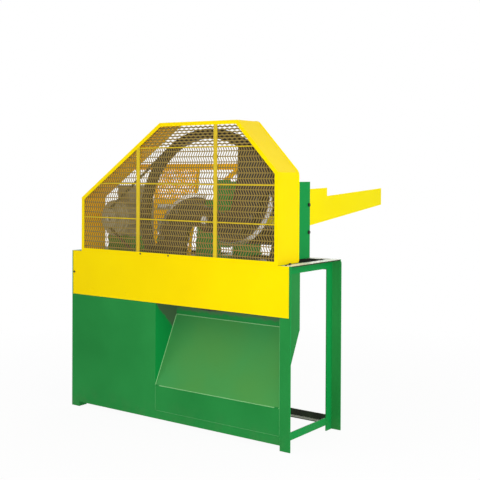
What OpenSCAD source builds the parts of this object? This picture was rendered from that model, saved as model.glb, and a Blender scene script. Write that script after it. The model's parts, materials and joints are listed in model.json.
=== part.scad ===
// Power chaff cutter: a motor turns a large knife wheel inside a mesh guard, two toothed rollers feed
// fodder from a trough past the knives, and the chaff drops out of a chute in the front of the stand.
// Millimetres. X runs along the front, Y from the front to the trough, Z up from the floor.

/* [Stand] */
// Width of the stand over its legs
frame_w = 1280; // [1180:5:1400]
// Depth of the stand over its legs
frame_d = 415; // [400:5:500]
// Height of the table
table_h = 762; // [700:2:840]
// Flange width of the angle iron legs and top rails
angle_w = 50; // [40:1:60]
// Thickness of the angle iron
angle_t = 5; // [4:0.5:8]
// Depth of the upright flange of the side top rails
side_rail_drop = 40; // [30:1:60]
// Flange width of the bottom rails
low_rail_w = 33; // [25:1:45]
// Thickness of the bottom rails
low_rail_t = 4; // [3:0.5:6]
// Height of the bottom rails above the floor
low_rail_z = 26; // [15:1:60]
// Height of the front bottom rail's face
kick_h = 38; // [35:1:70]
// Depth and height of the bed beam behind the knife wheel
beam_w = 40; // [30:1:60]
// Wall of the bed beam
beam_t = 4; // [3:0.5:6]
// Radius of the rear legs' top corners
corner_r = 18; // [8:1:30]

/* [Panels and chute] */
// Thickness of the sheet metal panels
sheet_t = 2; // [1:0.25:3]
// Height of the apron band
apron_h = 212; // [180:2:240]
// Inset of the apron's ends from the stand's sides
apron_inset = 8; // [2:1:20]
// Overlap of the left panel behind the apron
panel_lap = 40; // [10:1:80]
// Distance of the chute's left wall from the stand's right side
chute_reach = 735; // [650:5:800]
// Height of the chute's lip above the floor
lip_h = 175; // [120:5:220]
// Depth below the table of the fold between the slide and the back plate
chute_drop = 282; // [260:2:330]

/* [Guard] */
// Distance of the guard's side walls from the stand's sides
guard_inset = 64; // [52:1:70]
// Depth of the guard
guard_d = 160; // [140:1:175]
// Thickness of the guard's sheets, frame and mesh
guard_t = 2; // [1:0.25:3]
// Height of the guard's left wall
guard_left_h = 261; // [220:1:300]
// Height of the guard's right wall
guard_right_h = 385; // [340:1:420]
// Clear height between the belt on the knife wheel and the guard's top
guard_headroom = 26; // [15:1:60]
// Position of the guard's top left corner from the wheel's axis
guard_top_left = -229; // [-260:1:-180]
// Position of the guard's top right corner from the wheel's axis
guard_top_right = 209; // [170:1:225]
// Width of the frame around the mesh
flange_w = 15; // [10:1:25]
// Long way of the mesh gaps
mesh_long = 64; // [56:1:90]
// Short way of the mesh gaps
mesh_short = 60; // [54:1:90]
// Width of the mesh strands
mesh_strand = 8; // [5:0.5:12]
// Width of the upright bars
bar_w = 18; // [12:1:24]
// Thickness of the upright bars
bar_t = 5; // [3:0.5:8]
// Position of the left upright bar from the wheel's axis
bar_left = -363; // [-390:1:-330]
// Position of the right upright bar from the wheel's axis
bar_right = 90; // [70:1:120]
// Radius of the level rods
rod_r = 3; // [2:0.25:5]
// Height of the lowest level rod above the table
rod_low = 167; // [150:1:185]
// Step between the level rods
rod_step = 164; // [140:1:170]
// Height of the rear bar above the table
rear_bar_z = 396; // [370:1:410]
// Height of the rear bar's face
rear_bar_h = 28; // [20:1:40]
// Thickness of the rear bars
rear_bar_t = 4; // [3:0.5:6]
// Position of the rear upright from the wheel's axis
rear_post_x = -391; // [-420:1:-360]
// Position of the rear brace's foot from the wheel's axis
brace_foot = -192; // [-215:1:-170]
// Position of the rear brace's head from the wheel's axis
brace_head = -137; // [-160:1:-110]
// Height of the rear panel
rear_panel_h = 138; // [125:1:150]
// Height of the strip under the rear panel
rear_strip_h = 24; // [16:1:30]
// Height of the strip under the tie rod
low_strip_h = 40; // [25:1:50]
// Radius of the tie rod
tie_r = 10.5; // [8:0.5:14]
// Height of the tie rod above the table
tie_z = 220; // [200:1:228]

/* [Knife wheel] */
// Radius of the knife wheel
wheel_r = 398; // [370:1:410]
// Thickness of the wheel's rim
rim_t = 34; // [24:1:40]
// Width of the wheel's rim
rim_w = 40; // [32:1:50]
// Distance of the rim behind the front of the stand
wheel_front = 58; // [53:1:66]
// Gap between the belt on the rim and the guard's right wall
wheel_side_gap = 11; // [5:1:30]
// Height of the wheel's axis above the table
shaft_z = 173; // [160:1:185]
// Radius of the main shaft
shaft_r = 17.5; // [14:0.25:20]
// Radius of the wheel's hub
hub_r = 55; // [45:1:58]
// Thickness of the wheel's arms
arm_t = 26; // [20:1:30]
// Radius of the knife's curved edge
knife_edge_r = 238; // [225:1:245]
// Width of the knife
knife_w = 78; // [60:1:84]
// Thickness of the knife
knife_t = 7; // [5:0.5:9]
// Width of the knife's ground bevel
bevel_w = 17; // [8:1:20]
// Angle that the knife's edge covers around its own centre
knife_span = 113; // [95:1:115]
// Distance of the knife's outer end inside the wheel's outer face
knife_end_gap = 35; // [30:1:45]
// Gap between the knives and the mouth
knife_gap = 1.2; // [0.6:0.1:3]
// Radius of the knife bolts
knife_bolt_r = 6; // [4:0.5:8]

/* [Motor and belt] */
// Distance of the motor's axis from the stand's left side
motor_in = 182; // [165:1:200]
// Height of the motor's axis above the table
motor_z = 160; // [150:1:170]
// Height of the motor's axis above its feet
motor_foot = 90; // [88:1:100]
// Radius of the motor's frame
motor_r = 88; // [80:1:92]
// Wall of the motor's frame
motor_wall = 8; // [5:0.5:12]
// Length of the motor's frame
motor_len = 230; // [200:5:240]
// Radius of the motor's shaft
motor_shaft_r = 12; // [9:0.5:16]
// Bottom radius of the pulley's groove
pulley_r = 36; // [30:1:50]
// Height of the pulley's flanges above the groove
pulley_lip = 11; // [10:0.5:14]
// Width of the belt
belt_w = 13; // [10:0.5:17]
// Thickness of the belt
belt_t = 9; // [6:0.5:11]
// Height of the terminal box
box_h = 68; // [50:1:80]
// Width of the terminal box
box_w = 80; // [70:1:100]
// Length of the terminal box
box_len = 185; // [140:1:200]

/* [Feed] */
// Clear width of the throat
throat_w = 267; // [220:1:280]
// Thickness of the throat's side plates
throat_t = 4; // [3:0.5:6]
// Distance of the throat's left plate from the wheel's axis
throat_x = 62; // [56:1:75]
// Height of the throat's side plates
throat_h = 344; // [330:1:380]
// Inset of the throat's side plates from the back of the stand
throat_inset = 25; // [10:1:40]
// Reach of the mouth in front of the bed beam
mouth_reach = 44; // [35:1:55]
// Thickness of the shear bar and the lintel
mouth_bar_h = 18; // [12:1:24]
// Outer radius of the feed rollers
roller_r = 44; // [38:1:46]
// Depth of the feed rollers' teeth
roller_tooth = 8; // [5:0.5:10]
// Radius of the feed rollers' shafts
journal_r = 14; // [10:0.5:16]
// Wall of the roller bushes
bush_t = 6; // [4:0.5:8]
// Distance of the rollers' axes behind the bed beam's face
roller_back = 82; // [80:1:90]
// Number of teeth on a feed gear
gear_teeth = 21; // [21:1:21]
// Width of the feed gears
gear_w = 14; // [10:1:16]
// Length of the worm
worm_len = 56; // [44:1:60]
// Length of the trough behind the throat
trough_len = 700; // [500:10:800]
// Rise of the trough over its length
trough_rise = 64; // [20:1:90]
// Height of the trough's tall wall beside the throat
trough_wall = 151; // [120:1:160]
// Length of the tall wall
trough_tall_len = 157; // [80:1:200]
// Height of the trough's right wall at its end
trough_end_wall = 85; // [70:1:100]
// Height of the trough's low left wall at its end
trough_left_wall = 36; // [20:1:60]
// Thickness of the trough's sheet
trough_t = 2; // [1:0.25:3]

/* [Hidden] */
$fn = 96;

yellow = "#fadf00";
green = "#2d8741";
iron = "#3a352e";
steel = "#b9bcbd";
motor_grey = "#6e695c";
mesh_tan = "#a39565";
black = "#22211f";

// Gap left around turning fits and under the belt
run_gap = 0.05;
belt_gap = 0.4;
big = 4000;

// Stand
half_w = frame_w / 2;
inner_x = half_w - angle_w;
rail_under = table_h - angle_t;
low_rail_top = low_rail_z + low_rail_w;
kick_z = low_rail_z - low_rail_t;
panel_z = kick_z + kick_h;

// Knife wheel, set from the right side of the stand and the front
guard_half = half_w - guard_inset;
wheel_x = guard_half - guard_t - wheel_side_gap - belt_t - wheel_r;
wheel_z = table_h + shaft_z;
wheel_y = wheel_front + rim_w / 2;
rim_in = wheel_r - rim_t;
knife_y = wheel_front + rim_w;
arm_y = knife_y - arm_t;
knife_back = knife_y + knife_t;
mouth_y = knife_back + knife_gap;
bed_y = mouth_y + mouth_reach;
knife_reach = wheel_r - knife_end_gap;
knife_end_at = 26.7;
knife_end_turn = 10;
knife_end = knife_reach * [cos(knife_end_at), sin(knife_end_at)];
knife_centre = knife_end - knife_edge_r * [cos(knife_end_turn), sin(knife_end_turn)];
knife_tip = 0.8;
arm_setback = 45;
bolt_turns = [-60, -35, -10];
bolt_ring = knife_edge_r - knife_w + 20;

// Chute
wall_x = inner_x - sheet_t;
chute_x = half_w - chute_reach;
chute_d = bed_y - sheet_t;
slide_top = table_h - chute_drop;
panel_top = table_h - apron_h + panel_lap;
slide_slope = (slide_top - lip_h) / chute_d;
slide_dz = sheet_t * sqrt(1 + slide_slope * slide_slope);
lip_foot = lip_h - slide_dz + slide_slope * sheet_t;

// Guard outline, counter-clockwise from the bottom left corner
guard_top = wheel_z + wheel_r + belt_t + guard_headroom + guard_t;
guard_outline = [
    [-guard_half, table_h], [guard_half, table_h], [guard_half, table_h + guard_right_h],
    [wheel_x + guard_top_right, guard_top], [wheel_x + guard_top_left, guard_top],
    [-guard_half, table_h + guard_left_h]
];
guard_inner = inset(guard_outline, [0, guard_t, guard_t, guard_t, guard_t, guard_t]);
mesh_y = guard_t + bar_t + rod_r * 2;
guard_window = inset(guard_inner, [for (i = [0:5]) flange_w]);
rear_bar_bottom = table_h + rear_bar_z;
brace_lean = (brace_head - brace_foot) / rear_bar_z;
panel_foot = rear_bar_bottom - rear_panel_h;
rear_y = guard_d - rear_bar_t;

// Motor
motor_x = -half_w + motor_in;
motor_axis_z = table_h + motor_z;
bell_y = wheel_y + 17;
bell_len = 20;
motor_y = bell_y + bell_len;
motor_end = motor_y + motor_len;
rear_bell_len = 12;
fan_len = 46;
fan_hub_len = 24;
core_len = motor_len * 0.55;
core_y = motor_y + (motor_len - core_len) / 2;
core_r = motor_r * 0.52;
air_gap = 0.5;
foot_x = motor_r * 0.78;
foot_w = 32;
foot_t = 14;
foot_bolt_x = foot_x + foot_w * 0.31;
foot_z = motor_axis_z - motor_foot;
foot_y = motor_y + 35;
foot_len = motor_len - 70;
pad_top = motor_r + 4;
box_y = motor_y + 50;

// Feed
throat_left = wheel_x + throat_x;
throat_right = throat_left + throat_w;
throat_end = frame_d - throat_inset;
throat_recess = 50;
roller_y = bed_y + roller_back;
gear_module = 4;
gear_pitch_r = gear_module * gear_teeth / 2;
worm_lead = PI * gear_module;
worm_pitch_r = 26;
worm_depth = 5;
roller_offset = gear_pitch_r + worm_pitch_r;
nip = roller_offset - roller_r;
gear_half_pitch = 180 / gear_teeth;
stand_left = wheel_x - 31;
stand_right = wheel_x + 51;
stand_toe = wheel_x - 140;
stand_shoulder = [wheel_x - 115, table_h + 257];
stand_notch = table_h + 46;
stand_base_t = 8;
post_t = 16;
post_top = table_h + 351;
post_outline = [
    [stand_toe, table_h], [wheel_x, table_h], [wheel_x, stand_notch], [stand_right, stand_notch],
    [stand_right, post_top], [stand_left, post_top], [stand_left, stand_shoulder[1]], stand_shoulder
];
rear_post_y = roller_y + 58;
rear_post_t = 12;
rear_post_top = wheel_z + 60;
bearing_len = 20;
mouth_floor_end = roller_y - roller_r - 8;
trough_floor_start = roller_y + roller_r + 6;
trough_end = throat_end + trough_len;
trough_slope = trough_rise / trough_len;
trough_z = wheel_z - nip + 11;
trough_lap = 30;
trough_skirt = trough_z - 60;
bolt_high = trough_z + 80;
bolt_low = trough_skirt + 16;
trough_bolt_r = 5;
trough_bolt_y = throat_end - 12;

// Small fasteners
screw_r = 5;
screw_head = 3;
strip_screws = [-343, -174];
apron_screw_z = table_h - 104;
motor_bolt_r = 4;
nut_turn = 30;

// The origin lies on the floor under the middle of the whole machine
y_front = -sheet_t - screw_head;
y_shift = -(y_front + trough_end) / 2;

function arc(c, r, a0, a1, n = 16) =
    [for (i = [0:n]) let(a = a0 + (a1 - a0) * i / n) [c[0] + r * cos(a), c[1] + r * sin(a)]];

// Moves each edge of a counter-clockwise outline inwards by its own distance
function edge_normal(p, q) = let(d = q - p) [-d[1], d[0]] / norm(d);
function inset(outline, gaps) = [
    for (i = [0:len(outline) - 1])
        let(
            n = len(outline),
            before = (i + n - 1) % n,
            after = (i + 1) % n,
            u = edge_normal(outline[before], outline[i]),
            v = edge_normal(outline[i], outline[after]),
            det = u[0] * v[1] - u[1] * v[0]
        )
        outline[i] + [gaps[before] * v[1] - gaps[i] * u[1], gaps[i] * u[0] - gaps[before] * v[0]] / det
];

// Least distance of a point from the edges of a counter-clockwise outline
function depth_in(outline, p) = min([
    for (i = [0:len(outline) - 1])
        edge_normal(outline[i], outline[(i + 1) % len(outline)]) * (p - outline[i])
]);

// Centres of the staggered gaps that lie wholly inside an outline
function mesh_centres(outline, lo, hi) = [
    for (row = [0:floor((hi[1] - lo[1]) * 2 / mesh_short)])
        for (col = [0:floor((hi[0] - lo[0]) / mesh_long)])
            let(p = [lo[0] + (col + (row % 2) / 2) * mesh_long, lo[1] + row * mesh_short / 2])
            if (depth_in(outline, p) > mesh_long / 2) p
];

module place() {
    translate([0, y_shift, 0]) children();
}

module block(lo, hi) {
    translate(lo) cube(hi - lo);
}

// Turns an XZ outline into a plate between two depths
module across(y0, y1) {
    translate([0, y1, 0]) rotate([90, 0, 0]) linear_extrude(y1 - y0) children();
}

// Turns a YZ outline into a plate between two widths
module along(x0, x1) {
    translate([x0, 0, 0]) rotate([90, 0, 90]) linear_extrude(x1 - x0) children();
}

module rod_y(x, z, r, y0, y1) {
    translate([x, y0, z]) rotate([-90, 0, 0]) cylinder(h = y1 - y0, r = r);
}

module rod_x(y, z, r, x0, x1) {
    translate([x0, y, z]) rotate([0, 90, 0]) cylinder(h = x1 - x0, r = r);
}

module hex_y(x, z, r, y0, y1) {
    translate([x, y0, z]) rotate([-90, nut_turn, 0]) cylinder(h = y1 - y0, r = r, $fn = 6);
}

// Flat sheet of staggered diamond gaps
module mesh_sheet(outline, lo, hi) {
    gap = [mesh_long - mesh_strand * 2, mesh_short - mesh_strand * 2] / 2;
    centres = mesh_centres(outline, lo, hi);
    corners = [[gap[0], 0], [0, gap[1]], [-gap[0], 0], [0, -gap[1]]];
    holes = [for (c = centres) for (corner = corners) c + corner];
    start = len(outline);
    polygon(
        concat(outline, holes),
        concat([[for (i = [0:start - 1]) i]],
            [for (k = [0:len(centres) - 1]) [for (j = [0:3]) start + 4 * k + j]])
    );
}

// Stand
module leg(side, rear) {
    face_y = rear ? frame_d - angle_t : 0;
    web_y = rear ? frame_d - angle_w : 0;
    r = rear ? corner_r : 0.5;
    place() color(green) mirror([side < 0 ? 1 : 0, 0, 0]) {
        across(face_y, face_y + angle_t)
            polygon(concat([[inner_x, 0], [half_w, 0]],
                arc([half_w - r, table_h - r], r, 0, 90, 8), [[inner_x, table_h]]));
        block([inner_x, web_y, 0], [inner_x + angle_t, web_y + angle_w, rail_under]);
    }
}

module leg_front_left() { leg(-1, false); }
module leg_front_right() { leg(1, false); }
module leg_rear_left() { leg(-1, true); }
module leg_rear_right() { leg(1, true); }

module top_rail(y_face, y_flange) {
    place() color(green) {
        block([-inner_x, y_flange, rail_under], [inner_x, y_flange + angle_w, table_h]);
        block([-inner_x, y_face, table_h - angle_w], [inner_x, y_face + angle_t, table_h]);
    }
}

module top_rail_front() { top_rail(0, 0); }
module top_rail_rear() { top_rail(frame_d - angle_t, frame_d - angle_w); }

module side_top_rail(side) {
    place() color(green) mirror([side < 0 ? 1 : 0, 0, 0]) {
        block([inner_x, angle_t, rail_under], [half_w, frame_d - angle_t, table_h]);
        block([inner_x, angle_w, table_h - side_rail_drop],
            [inner_x + angle_t, frame_d - angle_w, table_h]);
    }
}

module top_rail_left() { side_top_rail(-1); }
module top_rail_right() { side_top_rail(1); }

module bottom_rail_front() {
    place() color(green) {
        block([-inner_x, 0, kick_z], [inner_x, low_rail_t, panel_z]);
        block([-inner_x, 0, kick_z], [inner_x, low_rail_w, kick_z + low_rail_t]);
    }
}

module bottom_rail_rear() {
    place() color(green) {
        block([-inner_x, frame_d - low_rail_t, low_rail_z], [inner_x, frame_d, low_rail_top]);
        block([-inner_x, frame_d - low_rail_w, low_rail_z], [inner_x, frame_d, low_rail_z + low_rail_t]);
    }
}

module side_bottom_rail(side) {
    place() color(green) mirror([side < 0 ? 1 : 0, 0, 0]) {
        block([inner_x, angle_w, low_rail_z], [inner_x + low_rail_t, frame_d - angle_w, low_rail_top]);
        block([inner_x + low_rail_t - low_rail_w, angle_w, low_rail_z],
            [inner_x + low_rail_t, frame_d - angle_w, low_rail_z + low_rail_t]);
    }
}

module bottom_rail_left() { side_bottom_rail(-1); }
module bottom_rail_right() { side_bottom_rail(1); }

module bed_beam() {
    place() color(green) difference() {
        block([-inner_x, bed_y, table_h - beam_w], [inner_x, bed_y + beam_w, table_h]);
        block([-big, bed_y + beam_t, -big], [big, bed_y + beam_w - beam_t, table_h - beam_t]);
    }
}

// Panels and chute
module front_panel_left() {
    place() color(green)
        block([-inner_x, 0, panel_z], [chute_x, sheet_t, panel_top]);
}

module front_panel_lower() {
    place() color(green) block([chute_x, 0, panel_z], [wall_x, sheet_t, lip_foot]);
}

module chute_slide() {
    place() color(green) along(chute_x + sheet_t, wall_x) polygon([
        [0, lip_foot], [sheet_t, lip_foot], [chute_d, slide_top - slide_dz],
        [chute_d, slide_top], [0, lip_h]
    ]);
}

module chute_back() {
    place() color(green)
        block([chute_x + sheet_t, chute_d, slide_top - slide_dz], [wall_x, bed_y, table_h]);
}

module chute_left_wall() {
    place() color(green) along(chute_x, chute_x + sheet_t) polygon([
        [0, lip_foot], [0, panel_top], [bed_y, panel_top],
        [bed_y, slide_top - slide_dz], [chute_d, slide_top - slide_dz], [sheet_t, lip_foot]
    ]);
}

module chute_right_wall() {
    place() color(green) along(wall_x, inner_x) polygon([
        [0, panel_z], [0, table_h - angle_w], [angle_w, table_h - angle_w], [angle_w, rail_under],
        [bed_y, rail_under], [bed_y, slide_top - slide_dz], [chute_d, slide_top - slide_dz],
        [sheet_t, lip_foot], [sheet_t, panel_z]
    ]);
}

module apron() {
    place() color(yellow)
        block([-half_w + apron_inset, -sheet_t, table_h - apron_h], [half_w - apron_inset, 0, table_h]);
}

// Guard
module guard_hood() {
    place() color(yellow) for (i = [1:5]) {
        j = (i + 1) % 6;
        across(0, guard_d) polygon([guard_outline[i], guard_outline[j], guard_inner[j], guard_inner[i]]);
    }
}

module guard_front_frame() {
    place() color(yellow) for (i = [0:5]) {
        j = (i + 1) % 6;
        across(0, guard_t) polygon([guard_inner[i], guard_inner[j], guard_window[j], guard_window[i]]);
    }
}

module guard_mesh() {
    lo = guard_inner[0];
    hi = [guard_inner[1][0], guard_inner[3][1]];
    place() color(mesh_tan) across(mesh_y, mesh_y + guard_t) mesh_sheet(guard_inner, lo, hi);
}

module inside_guard() {
    intersection() {
        across(0, guard_d) polygon(guard_inner);
        children();
    }
}

module guard_bars() {
    place() color(yellow) inside_guard() for (x = [bar_left, bar_right])
        block([wheel_x + x - bar_w / 2, guard_t, 0], [wheel_x + x + bar_w / 2, guard_t + bar_t, big]);
}

module guard_rods() {
    place() color(yellow) inside_guard() for (k = [0:2])
        rod_x(guard_t + bar_t + rod_r, table_h + rod_low + k * rod_step, rod_r, -half_w, half_w);
}

// Left edge of the leaning brace at a height
function brace_edge(z) = wheel_x + brace_foot + (z - table_h) * brace_lean;

module rear_guard_bars() {
    upright = wheel_x + rear_post_x;
    bar_end = wheel_x + 113;
    bar_mid = rear_bar_bottom + rear_bar_h / 2;
    low_strip_top = table_h + tie_z - tie_r - 4;
    post_lap = bar_w * 2;
    place() color(yellow) union() {
        inside_guard()
            block([-half_w, rear_y, rear_bar_bottom], [bar_end, guard_d, rear_bar_bottom + rear_bar_h]);
        block([upright - bar_w / 2, rear_y, table_h], [upright + bar_w / 2, guard_d, bar_mid]);
        across(rear_y, guard_d) polygon([
            [brace_edge(table_h), table_h], [brace_edge(table_h) + bar_w, table_h],
            [brace_edge(bar_mid) + bar_w, bar_mid], [brace_edge(bar_mid), bar_mid]
        ]);
        for (strip = [[panel_foot, rear_strip_h], [low_strip_top, low_strip_h]]) {
            foot = strip[0] - strip[1];
            across(rear_y, guard_d) polygon([
                [upright, foot], [brace_edge(foot) + bar_w / 2, foot],
                [brace_edge(strip[0]) + bar_w / 2, strip[0]], [upright, strip[0]]
            ]);
        }
        across(rear_y, guard_d) polygon([
            [stand_right - post_lap, post_top], [stand_right, post_top], [bar_end, rear_bar_bottom],
            [bar_end, bar_mid], [bar_end - post_lap, bar_mid], [bar_end - post_lap, rear_bar_bottom]
        ]);
    }
}

module rear_guard_panel() {
    x0 = wheel_x + rear_post_x + bar_w / 2;
    outline = [
        [x0, panel_foot], [brace_edge(panel_foot), panel_foot],
        [brace_edge(rear_bar_bottom), rear_bar_bottom], [x0, rear_bar_bottom]
    ];
    lo = [x0 + mesh_long / 2 + mesh_strand, panel_foot + mesh_short / 2 + mesh_strand];
    place() color(yellow) across(guard_d - guard_t, guard_d)
        mesh_sheet(outline, lo, [brace_edge(rear_bar_bottom), rear_bar_bottom]);
}

module rear_tie_rod() {
    place() color(steel) difference() {
        rod_x(guard_d + tie_r, table_h + tie_z, tie_r, wheel_x + rear_post_x - bar_w / 2, stand_left);
        across(0, big) polygon(post_outline);
    }
}

module cover_screws() {
    place() color(black) {
        rod_y(-half_w + apron_inset + 9, apron_screw_z, screw_r, -sheet_t - screw_head, -sheet_t);
        for (x = strip_screws)
            rod_y(wheel_x + x, table_h + flange_w / 2, screw_r * 0.7, -screw_head, 0);
        for (y = [angle_w * 0.4, angle_w * 0.9])
            translate([inner_x + angle_w * 0.3, y, table_h]) cylinder(h = screw_head, r = screw_r);
    }
}

// Motor and belt
module motor_rails() {
    web = 5;
    outer = foot_x + foot_w / 2;
    place() color(green) for (side = [0, 1])
        translate([motor_x, 0, 0]) mirror([side, 0, 0]) across(bed_y, frame_d) polygon([
            [outer - foot_w, table_h], [outer, table_h], [outer, foot_z], [outer - foot_w, foot_z],
            [outer - foot_w, foot_z - web], [outer - web, foot_z - web],
            [outer - web, table_h + web], [outer - foot_w, table_h + web]
        ]);
}

module motor_frame() {
    place() color(motor_grey) difference() {
        union() {
            rod_y(motor_x, motor_axis_z, motor_r, motor_y, motor_end);
            for (side = [0, 1]) translate([motor_x, foot_y, foot_z]) mirror([side, 0, 0]) {
                block([foot_x - foot_w / 2, 0, 0], [foot_x + foot_w / 2, foot_len, foot_t]);
                block([foot_x - foot_w / 2, 0, 0], [foot_x + foot_w / 8, foot_len, motor_foot - motor_r / 2]);
            }
            block([motor_x - box_w * 0.4, box_y + 10, motor_axis_z],
                [motor_x + box_w * 0.4, box_y + box_len * 0.85, motor_axis_z + pad_top]);
        }
        rod_y(motor_x, motor_axis_z, motor_r - motor_wall, 0, big);
        each_foot_bolt() translate([0, 0, -1]) cylinder(h = foot_t + 2, r = motor_bolt_r);
    }
}

module each_foot_bolt() {
    for (x = [-foot_bolt_x, foot_bolt_x])
        for (y = [20, foot_len - 20])
            translate([motor_x + x, foot_y + y, foot_z]) children();
}

module motor_front_bell() {
    place() color(motor_grey) difference() {
        union() {
            rod_y(motor_x, motor_axis_z, motor_r - 10, bell_y, motor_y - 6);
            rod_y(motor_x, motor_axis_z, motor_r, motor_y - 6, motor_y);
        }
        rod_y(motor_x, motor_axis_z, motor_shaft_r + run_gap, 0, big);
    }
}

module motor_rear_bell() {
    place() color(motor_grey) difference() {
        rod_y(motor_x, motor_axis_z, motor_r, motor_end, motor_end + rear_bell_len);
        rod_y(motor_x, motor_axis_z, motor_shaft_r + run_gap, 0, big);
    }
}

module motor_fan_cover() {
    start = motor_end + rear_bell_len;
    place() color(motor_grey) difference() {
        rod_y(motor_x, motor_axis_z, motor_r, start, start + fan_len);
        rod_y(motor_x, motor_axis_z, motor_r - 3, start - 1, start + fan_len - 3);
    }
}

module motor_fan() {
    start = motor_end + rear_bell_len + 6;
    place() color(black) difference() {
        union() {
            rod_y(motor_x, motor_axis_z, motor_shaft_r + 8, start, start + fan_hub_len);
            rod_y(motor_x, motor_axis_z, motor_r * 0.75, start, start + 3);
            for (a = [0:45:315])
                translate([motor_x, start, motor_axis_z]) rotate([0, a, 0])
                    block([motor_shaft_r + 4, 0, -1.5], [motor_r * 0.75, 20, 1.5]);
        }
        rod_y(motor_x, motor_axis_z, motor_shaft_r, 0, big);
    }
}

module motor_stator() {
    place() color(steel) difference() {
        rod_y(motor_x, motor_axis_z, motor_r - motor_wall, core_y, core_y + core_len);
        rod_y(motor_x, motor_axis_z, core_r + air_gap, 0, big);
    }
}

module motor_rotor() {
    place() color(steel) {
        rod_y(motor_x, motor_axis_z, motor_shaft_r, wheel_front, motor_end + rear_bell_len + 32);
        rod_y(motor_x, motor_axis_z, core_r, core_y, core_y + core_len);
    }
}

module motor_pulley() {
    groove = belt_w / 2 + 0.7;
    lip = 3;
    place() color(motor_grey) difference() {
        union() {
            rod_y(motor_x, motor_axis_z, pulley_r, wheel_y - groove - lip, wheel_y + groove + lip);
            for (y = [wheel_y - groove - lip, wheel_y + groove])
                rod_y(motor_x, motor_axis_z, pulley_r + pulley_lip, y, y + lip);
        }
        rod_y(motor_x, motor_axis_z, motor_shaft_r, 0, big);
    }
}

module terminal_box() {
    base = motor_axis_z + pad_top;
    lid = 12;
    edge = 3;
    gland_r = 11;
    place() color(motor_grey) {
        block([motor_x - box_w / 2 + edge, box_y + edge, base],
            [motor_x + box_w / 2 - edge, box_y + box_len - edge, base + box_h - lid]);
        block([motor_x - box_w / 2, box_y, base + box_h - lid],
            [motor_x + box_w / 2, box_y + box_len, base + box_h]);
        rod_y(motor_x, base + (box_h - lid) / 2, gland_r,
            box_y + box_len - edge - 1, box_y + box_len + gland_r);
    }
}

module motor_bolts() {
    place() color(steel) each_foot_bolt() {
        cylinder(h = foot_t, r = motor_bolt_r);
        translate([0, 0, foot_t]) cylinder(h = motor_bolt_r, r = motor_bolt_r * 1.4, $fn = 6);
    }
}

// Closed line around both pulleys at a height above their faces
function belt_loop(gap) = let(
    c1 = [wheel_x, wheel_z],
    c2 = [motor_x, motor_axis_z],
    lead = atan2(c2[1] - c1[1], c2[0] - c1[0]),
    spread = acos((wheel_r - pulley_r) / norm(c2 - c1))
) concat(
    arc(c1, wheel_r + gap, lead + spread, lead + 360 - spread, 96),
    arc(c2, pulley_r + gap, lead - spread, lead + spread, 24)
);

module drive_belt() {
    outside = belt_loop(belt_t);
    inside = belt_loop(belt_gap);
    n = len(outside);
    place() color(black) across(wheel_y - belt_w / 2, wheel_y + belt_w / 2)
        polygon(concat(outside, inside), [[for (i = [0:n - 1]) i], [for (i = [0:n - 1]) n + i]]);
}

// Knife wheel
module main_shaft() {
    place() color(steel)
        rod_y(wheel_x, wheel_z, shaft_r, wheel_front - 20, rear_post_y + rear_post_t + bearing_len + 6);
}

// One arm, drawn about the wheel's axis, with its broad end let into the rim
module wheel_arm() {
    lead_r = knife_edge_r - arm_setback;
    polygon(concat(
        [[hub_r * 0.55, hub_r * 0.7], [hub_r * 0.2, -hub_r * 0.9]],
        arc(knife_centre, lead_r, knife_end_turn - knife_span, -8, 14),
        arc([0, 0], rim_in + rim_t / 2, 24, 65, 10),
        [for (p = [[0.395, 0.482], [0.352, 0.287], [0.31, 0.118], [0.25, 0.065]]) wheel_r * p]
    ));
}

module knife_wheel() {
    place() color(iron) translate([wheel_x, 0, wheel_z]) difference() {
        union() {
            difference() {
                rod_y(0, 0, wheel_r, wheel_front, wheel_front + rim_w, $fn = 240);
                rod_y(0, 0, rim_in, -1, big, $fn = 240);
            }
            for (turn = [0, 180])
                rotate([0, turn, 0]) across(arm_y, knife_y) wheel_arm();
            rod_y(0, 0, hub_r, wheel_front, knife_y + 4);
        }
        rod_y(0, 0, shaft_r, -1, big);
        each_knife_bolt() rod_y(0, 0, knife_bolt_r, 0, big);
    }
}

// Repeats a bolt at its places on both knives, about the wheel's axis
module each_knife_bolt() {
    for (turn = [0, 180])
        for (a = bolt_turns)
            rotate([0, turn, 0]) translate([knife_centre[0], 0, knife_centre[1]])
                translate([bolt_ring * cos(a), 0, bolt_ring * sin(a)]) children();
}

module knife(turn) {
    place() color(steel) translate([wheel_x, 0, wheel_z]) difference() {
        rotate([0, turn, 0]) translate([knife_centre[0], 0, knife_centre[1]]) rotate([-90, 0, 0])
            rotate([0, 0, -knife_end_turn]) rotate_extrude(angle = knife_span, $fn = 240) polygon([
                [knife_edge_r - knife_w, knife_y], [knife_edge_r - bevel_w, knife_y],
                [knife_edge_r, knife_back - knife_tip], [knife_edge_r, knife_back],
                [knife_edge_r - knife_w, knife_back]
            ]);
        each_knife_bolt() rod_y(0, 0, knife_bolt_r, 0, big);
    }
}

module knife_one() { knife(0); }
module knife_two() { knife(180); }

module knife_bolts() {
    nut_h = 8;
    place() color(steel) translate([wheel_x, 0, wheel_z]) each_knife_bolt() {
        rod_y(0, 0, knife_bolt_r, arm_y - nut_h, knife_back);
        hex_y(0, 0, knife_bolt_r * 1.7, arm_y - nut_h, arm_y);
    }
}

module wheel_nut() {
    nut_h = 14;
    place() color(steel) difference() {
        hex_y(wheel_x, wheel_z, shaft_r * 1.6, wheel_front - nut_h, wheel_front);
        rod_y(wheel_x, wheel_z, shaft_r, -1, big);
    }
}

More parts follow.
